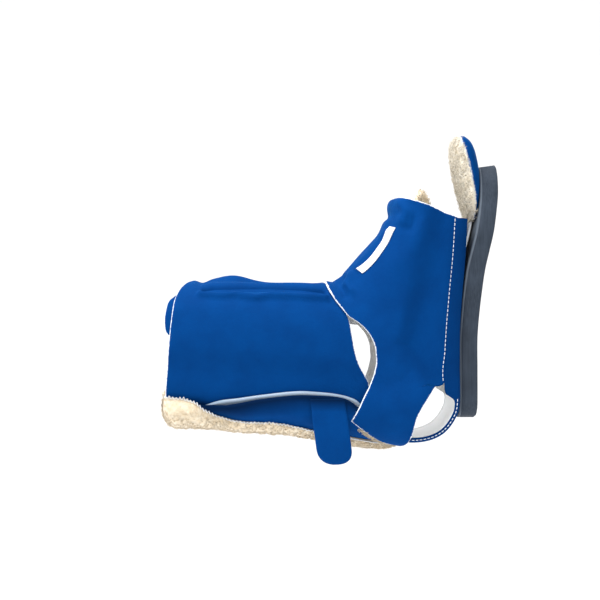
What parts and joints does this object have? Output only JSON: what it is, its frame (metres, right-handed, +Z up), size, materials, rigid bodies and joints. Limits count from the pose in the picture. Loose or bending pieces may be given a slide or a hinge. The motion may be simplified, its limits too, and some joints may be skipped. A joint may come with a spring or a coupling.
{
  "type": "foot positioning boot",
  "caption": "Splint boot that holds a leg's foot square to it: fleece lined cloth wraps, rigid trough and sole plate, toe pad, open heel and dark sole.",
  "frame": {"origin": "middle of the calf mouth, where the leg goes in", "axes": "+X along the leg from the calf mouth to the sole, +Z up towards the toes, -Y to the side the picture shows"},
  "size_m": [0.3521, 0.1326, 0.3412],
  "materials": {
    "blue_laminate": "brushed foam laminate",
    "cream_fleece": "deep pile",
    "white_plastic": "satin",
    "white_patch": "woven",
    "aluminium_bar": "brushed",
    "black_strap": "woven",
    "slate_rubber": "fine ribs"
  },
  "bodies": {
    "root": {"calf_wrap_near": "blue_laminate", "calf_wrap_far": "blue_laminate", "foot_wrap_near": "blue_laminate", "foot_wrap_far": "blue_laminate", "sole_sleeve": "blue_laminate", "calf_pad_cover": "blue_laminate", "loose_strap": "blue_laminate", "toe_pad_cover": "blue_laminate", "calf_liner_fleece": "cream_fleece", "calf_pad_fleece": "cream_fleece", "forefoot_fleece": "cream_fleece", "toe_pad_fleece": "cream_fleece", "splint_shell": "white_plastic", "label_patch": "white_patch", "toe_bar": "aluminium_bar", "toe_bar_strap": "black_strap", "outsole": "slate_rubber"}
  },
  "joints": []
}
